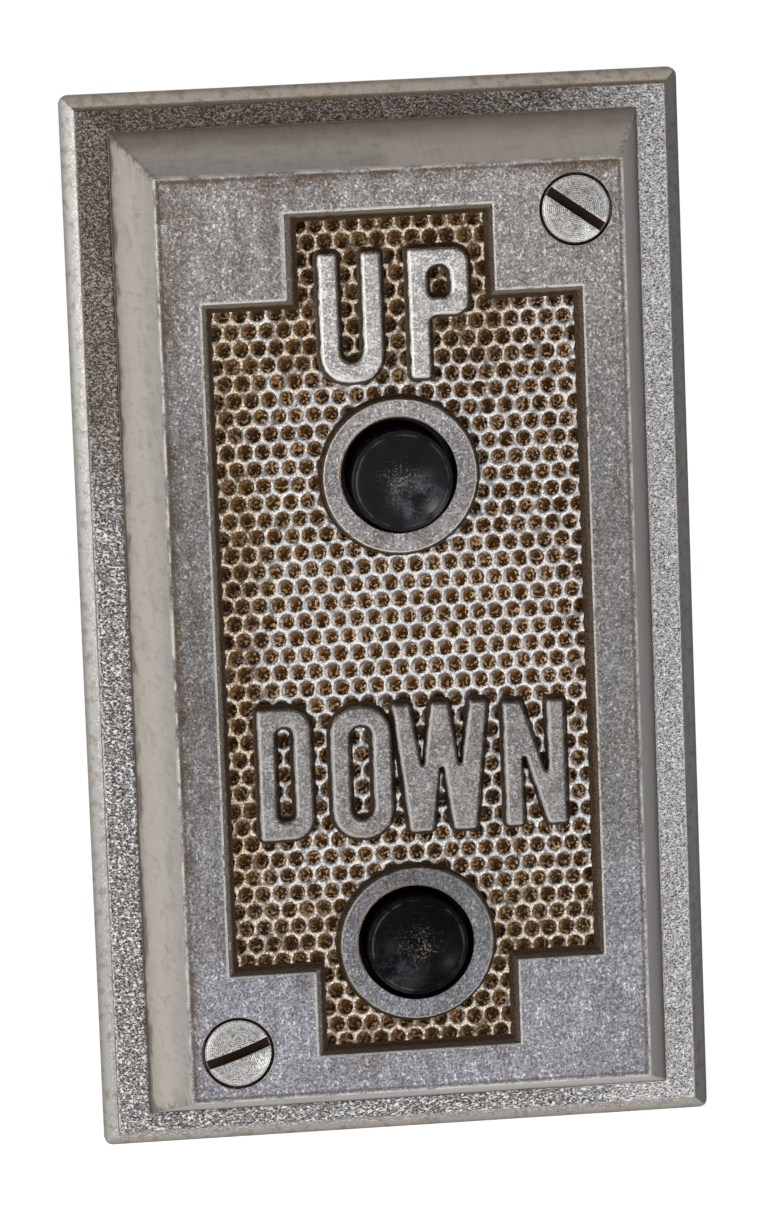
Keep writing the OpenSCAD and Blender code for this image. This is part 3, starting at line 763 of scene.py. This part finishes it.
def word_mesh():
    """Every letter as a closed solid: drafted walls, a rolled edge and a flat top."""
    shape = bmesh.new()
    for letter, centre_x, centre_z in WORDS:
        centre = Vector((centre_x, centre_z))
        stacks = []
        for corners in LETTERS[letter]:
            line = rounded(corners)
            stack = []
            for spread, height in LETTER_RINGS:
                points = [point + centre for point in grown(line, spread)]
                stack.append([vertex(shape, point.x, LETTER_FOOT + height, point.y) for point in points])
            skinned(shape, stack)
            stacks.append(stack)
        for level in (0, -1):
            verts = [vert for stack in stacks for vert in stack[level]]
            for corner_ids in tessellate_polygon([[vert.co for vert in stack[level]] for stack in stacks]):
                shape.faces.new([verts[i] for i in corner_ids])
    bmesh.ops.recalc_face_normals(shape, faces=shape.faces)
    return as_mesh(shape, "words", sharp=40)


letter_finish, place = new_finish("sandy_letters")
_, y, z = split(place)
normal_x, _, normal_z = surface_normal(place)
foot = ramp(-y + (noise(place, 0.7, 3) - 0.5) * 0.9, LETTER_FOOT + 1.66, LETTER_FOOT + 1.26)
sand = noise(place, 3.6, 3)
cloud = noise(place, 0.5, 3)
letter_metal = blend(ramp(sand, 0.34, 0.66), (0.33, 0.315, 0.305), (0.66, 0.64, 0.63))
letter_metal = tinted(ramp(cloud, 0.60, 0.40), letter_metal, (0.70, 0.69, 0.69))
# Painted glints: small near white flecks on the letters.
bright = ramp(noise(place, 2.7, 2), 0.54, 0.64)
letter_metal = blend(bright * 0.7, letter_metal, (0.96, 0.95, 0.94))
# Painted light and shade on the letters: walls that face right and up are darker brown, walls that face left
# and down near white.
facing = normal_x + normal_z
letter_metal = tinted(ramp(facing, 0.15, 0.75), letter_metal, (0.42, 0.37, 0.32))
letter_metal = blend(ramp(-facing, 0.10, 0.60) * 0.8, letter_metal, (0.95, 0.93, 0.90))
letter_metal = tinted(ramp(z, 20, 0), letter_metal, (0.56, 0.55, 0.55))
letter_metal = blend(foot * 0.95, letter_metal, (0.036, 0.018, 0.006))
finish(letter_finish, base_color=letter_metal, metallic=0.40, roughness=0.22 + 0.12 * sand,
       specular_ior_level=0.2, normal=bumped(sand, 0.20))
new_piece("raised_words", word_mesh(), letter_finish, "panel")

# Wall screws: two slotted steel screws that go through the casting's pillars into the wall box.
# Their heads were turned, so fine rings run around the crown, and a driver has burred the slots.
# The threaded ends show behind the panel.
HEAD_RADIUS = 4.215
HEAD_TOP = FACE_LEVEL + 0.6
CROWN_RADIUS = 13.04
TURN_PITCH = 0.24
THREAD_PITCH = 0.794
THREAD_CREST = 2.08
THREAD_ROOT = 1.60
THREAD_HALF = 0.42
THREAD_SPAN = (-0.4, -15.0)
THREAD_STEPS = 28
screw_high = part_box("plate_screws")[1]
SCREW_X = screw_high.x / MM - HEAD_RADIUS
SCREW_Z = screw_high.z / MM - HEAD_RADIUS


def threaded(shape, centre_x, centre_z):
    """A right-hand thread ridge around a screw, closed at both ends."""
    section = ((THREAD_ROOT, -THREAD_HALF), (THREAD_CREST, 0.0), (THREAD_ROOT, THREAD_HALF))
    start, end = THREAD_SPAN
    steps = round((start - end) / THREAD_PITCH * THREAD_STEPS)
    rings = []
    for step in range(steps + 1):
        turn = 2 * math.pi * step / THREAD_STEPS
        ring = []
        for radius, along in section:
            off_wall = start - THREAD_PITCH * (step / THREAD_STEPS - along)
            ring.append(vertex(shape, centre_x + radius * math.cos(turn), off_wall,
                               centre_z - radius * math.sin(turn)))
        rings.append(ring)
    skinned(shape, rings)
    shape.faces.new(rings[0])
    shape.faces.new(rings[-1])


def wave(value, pitch):
    """A wave from -1 to 1 along a value."""
    turn = value * (2 * math.pi / pitch)
    return turn.math("SINE", turn)


screw_finish, place = new_finish("turned_screw_steel")
x, y, z = split(place)
reach = radius_about(abs(x), abs(z), SCREW_X, SCREW_Z)
turned_ring = wave(reach, TURN_PITCH)
uneven = noise(place, 0.8, 3)
fine = noise(place, 5.0, 3)
below_crown = (HEAD_TOP - reach * reach / (2 * CROWN_RADIUS)) + y
in_slot = ramp(below_crown + (fine - 0.5) * 0.1, 0.10, 0.30) * ramp(reach, HEAD_RADIUS, HEAD_RADIUS - 0.15)
behind = ramp(-y, FACE_LEVEL - 0.9, FACE_LEVEL - 1.2)
steel = blend(ramp(fine + turned_ring * 0.10, 0.34, 0.64), (0.11, 0.105, 0.102), (0.60, 0.585, 0.575))
steel = blend(ramp(uneven, 0.50, 0.70) * 0.5, steel, (0.12, 0.10, 0.085))
steel = blend(behind * 0.7, steel, (0.20, 0.195, 0.19))
burr = ramp(abs(below_crown - 0.07), 0.07, 0.02) * ramp(reach, HEAD_RADIUS - 0.05, HEAD_RADIUS - 0.3)
steel = blend(burr * 0.8, steel, (0.78, 0.77, 0.75))
steel = blend(ramp(reach, HEAD_RADIUS - 0.10, HEAD_RADIUS - 0.02) * 0.6, steel, (0.10, 0.08, 0.065))
steel = blend(in_slot, steel, (0.022, 0.010, 0.005))
finish(screw_finish, base_color=steel, metallic=0.6 - in_slot * 0.6,
       roughness=0.20 + 0.16 * uneven + in_slot * 0.4, specular_ior_level=0.1,
       normal=bumped(turned_ring * 0.12 + fine * 0.6, 0.06))
eased("turned_wall_screws", "plate_screws", screw_finish, "panel", 0.12, sharp=28)
ridges = bmesh.new()
for side in (1, -1):
    threaded(ridges, side * SCREW_X, side * SCREW_Z)
bmesh.ops.recalc_face_normals(ridges, faces=ridges.faces)
new_piece("wall_screw_threads", as_mesh(ridges, "threads"), screw_finish, "panel")

# Push buttons: two domed buttons moulded in black phenolic, each held behind the face by its flange.
# Fingers have polished the domes and left fine scratches, and pale dust sits at mid dome. Each dome carries a
# soft bluish painted sheen, low on the right of the upper one and low on the left of the lower one.
# The upper one has worn loose and leans towards the lower right of its bore.
BUTTON_RADIUS = 6.35
FLANGE_RADIUS = 8.5
button_low, button_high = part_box("up_button")
DOME_TOP = -button_low.y / MM
RIM_LEVEL = DOME_TOP - 1.3
FLANGE_LEVELS = (-button_high.y / MM, -button_high.y / MM + 1.3)
SOCKET = (2.05, FLANGE_LEVELS[0] + 3.35)
DOME_RADIUS = (BUTTON_RADIUS ** 2 + (DOME_TOP - RIM_LEVEL) ** 2) / (2 * (DOME_TOP - RIM_LEVEL))
RIM_LINE = 5.75
RIM_EDGE = 0.38
RIM_TURN = 68
RIM_STEPS = 6
DOME_STEPS = 16
LATHE_STEPS = 112
SOFT = 0.15
LEAN = {"up": (0.16, -0.50), "down": (0.0, -0.06)}
SHEEN_SPOT = {"up": (1.9, -2.0, 1.0), "down": (-2.6, -2.8, 0.35)}
SHINE = {"up": 0.12, "down": 0.03}


def dome_level(radius):
    """How far the dome stands off the wall, so far from its axis."""
    return DOME_TOP - DOME_RADIUS + math.sqrt(DOME_RADIUS ** 2 - radius ** 2)


def button_profile():
    """Half section of a button, (radius, level), from the bottom of its socket to the top of its dome."""
    back, front = FLANGE_LEVELS
    profile = [(0, SOCKET[1]), (SOCKET[0], SOCKET[1]), (SOCKET[0], back)]
    profile += [(FLANGE_RADIUS - SOFT, back), (FLANGE_RADIUS, back + SOFT)]
    profile += [(FLANGE_RADIUS, front - SOFT), (FLANGE_RADIUS - SOFT, front)]
    profile += [(BUTTON_RADIUS + SOFT, front), (BUTTON_RADIUS, front + SOFT)]
    centre = (BUTTON_RADIUS - RIM_EDGE, dome_level(BUTTON_RADIUS - RIM_EDGE) - RIM_EDGE)
    for step in range(RIM_STEPS + 1):
        turn = math.radians(RIM_TURN * step / RIM_STEPS)
        profile.append((centre[0] + RIM_EDGE * math.cos(turn), centre[1] + RIM_EDGE * math.sin(turn)))
    for from_line, sink in ((0.10, 0.0), (0.04, 0.03), (-0.04, 0.03), (-0.10, 0.0)):
        profile.append((RIM_LINE + from_line, dome_level(RIM_LINE + from_line) - sink))
    for step in range(1, DOME_STEPS + 1):
        radius = (RIM_LINE - 0.10) * (1 - step / DOME_STEPS)
        profile.append((radius, dome_level(radius)))
    return profile


def lathed(name, profile, centre_z, lean):
    """A profile turned about an axis into the wall, with its front moved aside by lean."""
    shape = bmesh.new()
    rings = []
    for radius, level in profile:
        share = min(max((level - FLANGE_LEVELS[1]) / (RIM_LEVEL - FLANGE_LEVELS[1]), 0), 1)
        ring = []
        for step in range(LATHE_STEPS if radius else 1):
            turn = 2 * math.pi * step / LATHE_STEPS
            ring.append(vertex(shape, radius * math.cos(turn) + lean[0] * share, level,
                               centre_z + radius * math.sin(turn) + lean[1] * share))
        rings.append(ring)
    for low, high in zip(rings, rings[1:]):
        for step in range(LATHE_STEPS):
            corners = [low[step % len(low)], low[(step + 1) % LATHE_STEPS % len(low)],
                       high[(step + 1) % LATHE_STEPS % len(high)], high[step % len(high)]]
            shape.faces.new(list(dict.fromkeys(corners)))
    bmesh.ops.recalc_face_normals(shape, faces=shape.faces)
    return as_mesh(shape, name, sharp=35)


for which in ("up", "down"):
    button_finish, place = new_finish(which + "_black_phenolic")
    x, y, z = split(place)
    axis_x, axis_z = LEAN[which][0], BUTTON_Z[which] + LEAN[which][1]
    reach = radius_about(x, z, axis_x, axis_z)
    on_dome = ramp(-y, RIM_LEVEL - 0.2, RIM_LEVEL)
    fine = noise(place, 4.0, 4)
    cloud = noise(place, 0.45, 3)
    hairline = ramp(noise(place, 1.1, 5, (0.35, 1, 2.6)), 0.62, 0.66)
    dust = ramp(fine * 0.9 + cloud * 0.35 - reach * 0.06, 0.56, 0.72) * on_dome
    rim_wear = ramp(abs(reach - RIM_LINE), 0.16, 0.03) * on_dome * ramp(cloud, 0.42, 0.6)
    black = blend(ramp(cloud, 0.35, 0.7), (0.003, 0.003, 0.004), (0.008, 0.008, 0.008))
    black = blend(hairline * 0.10 * on_dome, black, (0.10, 0.09, 0.08))
    # Painted sheen: a soft bluish patch on the dome, set off from its axis.
    sheen_x, sheen_z, sheen_share = SHEEN_SPOT[which]
    painted_sheen = ramp(radius_about(x, z, axis_x + sheen_x, axis_z + sheen_z), 4.6, 0.3)
    painted_sheen = painted_sheen * ramp(cloud * 0.6 + fine * 0.4, 0.38, 0.62) * on_dome
    black = blend(painted_sheen * sheen_share, black, (0.130, 0.138, 0.158))
    black = blend(rim_wear * 0.6, black, (0.12, 0.105, 0.085))
    black = blend(dust * 0.7, black, (0.24, 0.21, 0.175))
    finish(button_finish, base_color=black, roughness=0.16 + cloud * 0.12 + dust * 0.4 + hairline * 0.15,
           specular_ior_level=SHINE[which], normal=bumped(fine * 0.5 + hairline * 0.5, 0.015))
    dome = lathed(which + "_dome", button_profile(), BUTTON_Z[which], LEAN[which])
    piece = new_piece(which + "_domed_button", dome, button_finish, which + "_push")
    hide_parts(which + "_button")

# Contact board: a dark board of laminated phenolic paper behind the face, screwed to four cast bosses.
# Its sawn edges show the layers. The screws and washers are plain brass, dulled with age.
LAYER_PITCH = 0.32


def aged_brass(name, fresh, dull):
    """Turned brass or bronze: fine tool marks, brown tarnish and worn bright high spots."""
    material, place = new_finish(name)
    marks = noise(place, 3.0, 3, (0.4, 6, 0.4))
    tarnish = ramp(noise(place, 0.35, 4) + marks * 0.25, 0.45, 0.78)
    colour = blend(tarnish * 0.8, fresh, dull)
    colour = blend(ramp(marks, 0.52, 0.7) * 0.35, colour, (0.80, 0.66, 0.38))
    finish(material, base_color=colour, metallic=0.85, roughness=0.30 + tarnish * 0.22 + marks * 0.08,
           normal=bumped(marks, 0.03))
    return material


board_finish, place = new_finish("laminated_board")
layer = wave(split(place)[1], LAYER_PITCH)
paper = noise(place, 1.4, 4, (1.6, 0.3, 0.5))
cloud = noise(place, 0.12, 3)
phenolic = blend(ramp(paper, 0.35, 0.68), (0.030, 0.014, 0.008), (0.085, 0.040, 0.020))
phenolic = blend(ramp(cloud, 0.45, 0.65) * 0.4, phenolic, (0.055, 0.030, 0.018))
phenolic = blend(ramp(layer, 0.2, 0.9) * 0.25, phenolic, (0.14, 0.075, 0.04))
phenolic = blend(ramp(noise(place, 2.6, 2), 0.68, 0.74) * 0.6, phenolic, (0.20, 0.16, 0.11))
finish(board_finish, base_color=phenolic, roughness=0.42 + paper * 0.2, specular_ior_level=0.4,
       normal=bumped(paper + layer * 0.15, 0.04))
eased("laminated_board", "contact_base", board_finish, "panel", 0.18)
brass_finish = aged_brass("dull_brass", (0.58, 0.40, 0.15), (0.20, 0.12, 0.05))
eased("board_screws", "base_screws", brass_finish, "panel", 0.16)
eased("board_washers", "base_washers", brass_finish, "panel", 0.08)

# Push contacts: behind each button a brass stem carries a bronze disc on a bush of red fibre.
# Pressing the button lays the disc across two posts in the board. The stem slides in a brass bush and
# ends in a nut, and each post takes a wire under a washer and nut at the back.
bronze_finish = aged_brass("rolled_bronze", (0.56, 0.33, 0.15), (0.24, 0.12, 0.06))
fibre_finish, place = new_finish("red_fibre")
strand = noise(place, 2.2, 4, (1, 3, 0.3))
fibre_red = blend(ramp(strand, 0.32, 0.7), (0.10, 0.028, 0.015), (0.27, 0.085, 0.045))
finish(fibre_finish, base_color=fibre_red, roughness=0.55 + strand * 0.2, normal=bumped(strand, 0.05))
CONTACT_PIECES = (
    ("plunger", "push_stem", brass_finish, "push", "brass", 0.20),
    ("insulating_bush", "fibre_bush", fibre_finish, "push", "fibre", 0.12),
    ("contact_disc", "bridge_disc", bronze_finish, "push", "contact_bronze", 0.12),
    ("spring_washer", "fibre_washer", fibre_finish, "push", "fibre", 0.12),
    ("plunger_nut", "stem_nut", brass_finish, "push", "brass", 0.18),
    ("guide_bush", "board_bush", brass_finish, "panel", "brass", 0.12),
    ("contact_posts", "posts", brass_finish, "panel", "brass", 0.22),
    ("terminal_washers", "post_washers", brass_finish, "panel", "brass", 0.08),
    ("terminal_nuts", "post_nuts", brass_finish, "panel", "brass", 0.18))
for which in ("up", "down"):
    for node, name, material, body, slot, ease in CONTACT_PIECES:
        carrier = which + "_push" if body == "push" else body
        eased(f"{which}_{name}", f"{which}_{node}", material, carrier, ease)

# Return springs: steel wire coiled around each stem, with closed end turns.
# Each stands in a pocket of the board, bears on the fibre washer and is squeezed when its button goes in.
COIL_RADIUS = 3.3
WIRE_RADIUS = 0.3
COIL_TURNS = 6
spring_low, spring_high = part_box("up_return_spring")
COIL_SPAN = (-spring_high.y / MM, -spring_low.y / MM)
COIL_STEPS = 40
WIRE_SIDES = 12


def coil_mesh(name, centre_z):
    """Round wire on a helix that starts and ends with a closed turn."""
    wire = 2 * WIRE_RADIUS
    low = COIL_SPAN[0] + WIRE_RADIUS
    rise = COIL_SPAN[1] - COIL_SPAN[0] - wire
    shape = bmesh.new()
    rings = []
    for step in range(COIL_TURNS * COIL_STEPS + 1):
        turns = step / COIL_STEPS
        if turns < 1:
            level = wire * turns
        elif turns > COIL_TURNS - 1:
            level = rise - wire * (COIL_TURNS - turns)
        else:
            level = wire + (rise - 2 * wire) * (turns - 1) / (COIL_TURNS - 2)
        around = 2 * math.pi * turns
        ring = []
        for side in range(WIRE_SIDES):
            about = 2 * math.pi * side / WIRE_SIDES
            radius = COIL_RADIUS + WIRE_RADIUS * math.cos(about)
            off_wall = low + level + WIRE_RADIUS * math.sin(about)
            ring.append(vertex(shape, radius * math.cos(around), off_wall,
                               centre_z + radius * math.sin(around)))
        rings.append(ring)
    skinned(shape, rings)
    shape.faces.new(rings[0])
    shape.faces.new(rings[-1])
    bmesh.ops.recalc_face_normals(shape, faces=shape.faces)
    return as_mesh(shape, name, sharp=50)


wire_finish, place = new_finish("drawn_wire")
drawn = noise(place, 2.5, 3)
wire_steel = blend(ramp(drawn, 0.35, 0.7), (0.28, 0.28, 0.29), (0.50, 0.50, 0.51))
finish(wire_finish, base_color=wire_steel, metallic=0.9, roughness=0.28 + drawn * 0.2,
       normal=bumped(drawn, 0.02))
for which in ("up", "down"):
    coil = coil_mesh(which + "_coil", BUTTON_Z[which])
    piece = new_piece(which + "_coil_spring", coil, wire_finish, "panel")
    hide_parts(which + "_return_spring")
    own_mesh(piece)

# Stage: a pale floor that casts no shadow, a white surround, a small key lamp low on the right, below the
# floor, and a soft fill from the left. The camera stands a little above and to the left of the panel, as in
# the photograph.
CAMERA_REACH = 0.900
CAMERA_AZIMUTH = math.radians(-6.46)
CAMERA_ELEVATION = math.radians(9.58)
CAMERA_ROLL = math.radians(-2.14)
CAMERA_LENS = 209.02
FRAME_HEIGHT_PX = 1218
FRAME_SHIFT_PX = (0.14, -0.15)
LAMPS = (("key_lamp", (0.30, -0.42, -0.30), 0.06, 0.42, (0.97, 0.99, 1.0)),
         ("fill_lamp", (-0.60, -0.28, 0.10), 0.45, 2.0, (1.0, 0.98, 0.95)))
AMBIENT = 0.15
FLOOR_HALF = 3
FLOOR_GLOW = 0.89

floor_mesh = bpy.data.meshes.new("floor")
corners = [(x * FLOOR_HALF, y * FLOOR_HALF, cad_box[0][2]) for x, y in ((-1, -1), (1, -1), (1, 1), (-1, 1))]
floor_mesh.from_pydata(corners, [], [(0, 1, 2, 3)])
floor = bpy.data.objects.new("floor", floor_mesh)
bpy.context.scene.collection.objects.link(floor)
floor_finish = new_finish("pale_floor")[0]
finish(floor_finish, base_color=(0.80, 0.80, 0.80, 1), roughness=0.9, emission_color=(1, 1, 1, 1),
       emission_strength=FLOOR_GLOW, specular_ior_level=0.0)
floor_mesh.materials.append(floor_finish)
floor.visible_shadow = False

world = bpy.data.worlds.new("white_surround")
bpy.context.scene.world = world
world.use_nodes = True
tree = world.node_tree
light_path = tree.nodes.new("ShaderNodeLightPath")
camera_ray, glossy_ray, clear_ray = [Signal(tree, light_path.outputs[key]) for key in
                                     ("Is Camera Ray", "Is Glossy Ray", "Is Transmission Ray")]
seen = larger(camera_ray, larger(glossy_ray, clear_ray))
surround = tree.nodes["Background"]
surround.inputs["Color"].default_value = (1, 1, 1, 1)
tree.links.new((seen * (1 - AMBIENT) + AMBIENT).socket, surround.inputs["Strength"])

for name, spot, size, power, tint in LAMPS:
    lamp = bpy.data.lights.new(name, "AREA")
    lamp.shape = "DISK"
    lamp.size = size
    lamp.energy = power
    lamp.color = tint
    holder = bpy.data.objects.new(name, lamp)
    holder.location = spot
    holder.rotation_euler = (-Vector(spot)).to_track_quat("-Z", "Y").to_euler()
    bpy.context.scene.collection.objects.link(holder)

lens = bpy.data.cameras.new("camera")
lens.lens = CAMERA_LENS
lens.shift_x, lens.shift_y = [shift / FRAME_HEIGHT_PX for shift in FRAME_SHIFT_PX]
camera = bpy.data.objects.new("camera", lens)
camera.location = CAMERA_REACH * Vector((math.sin(CAMERA_AZIMUTH) * math.cos(CAMERA_ELEVATION),
                                         -math.cos(CAMERA_AZIMUTH) * math.cos(CAMERA_ELEVATION),
                                         math.sin(CAMERA_ELEVATION)))
aim = (-camera.location).to_track_quat("-Z", "Y") @ Matrix.Rotation(CAMERA_ROLL, 3, "Z").to_quaternion()
camera.rotation_euler = aim.to_euler()
bpy.context.scene.collection.objects.link(camera)
bpy.context.scene.camera = camera
bpy.context.scene.view_settings.view_transform = "Standard"
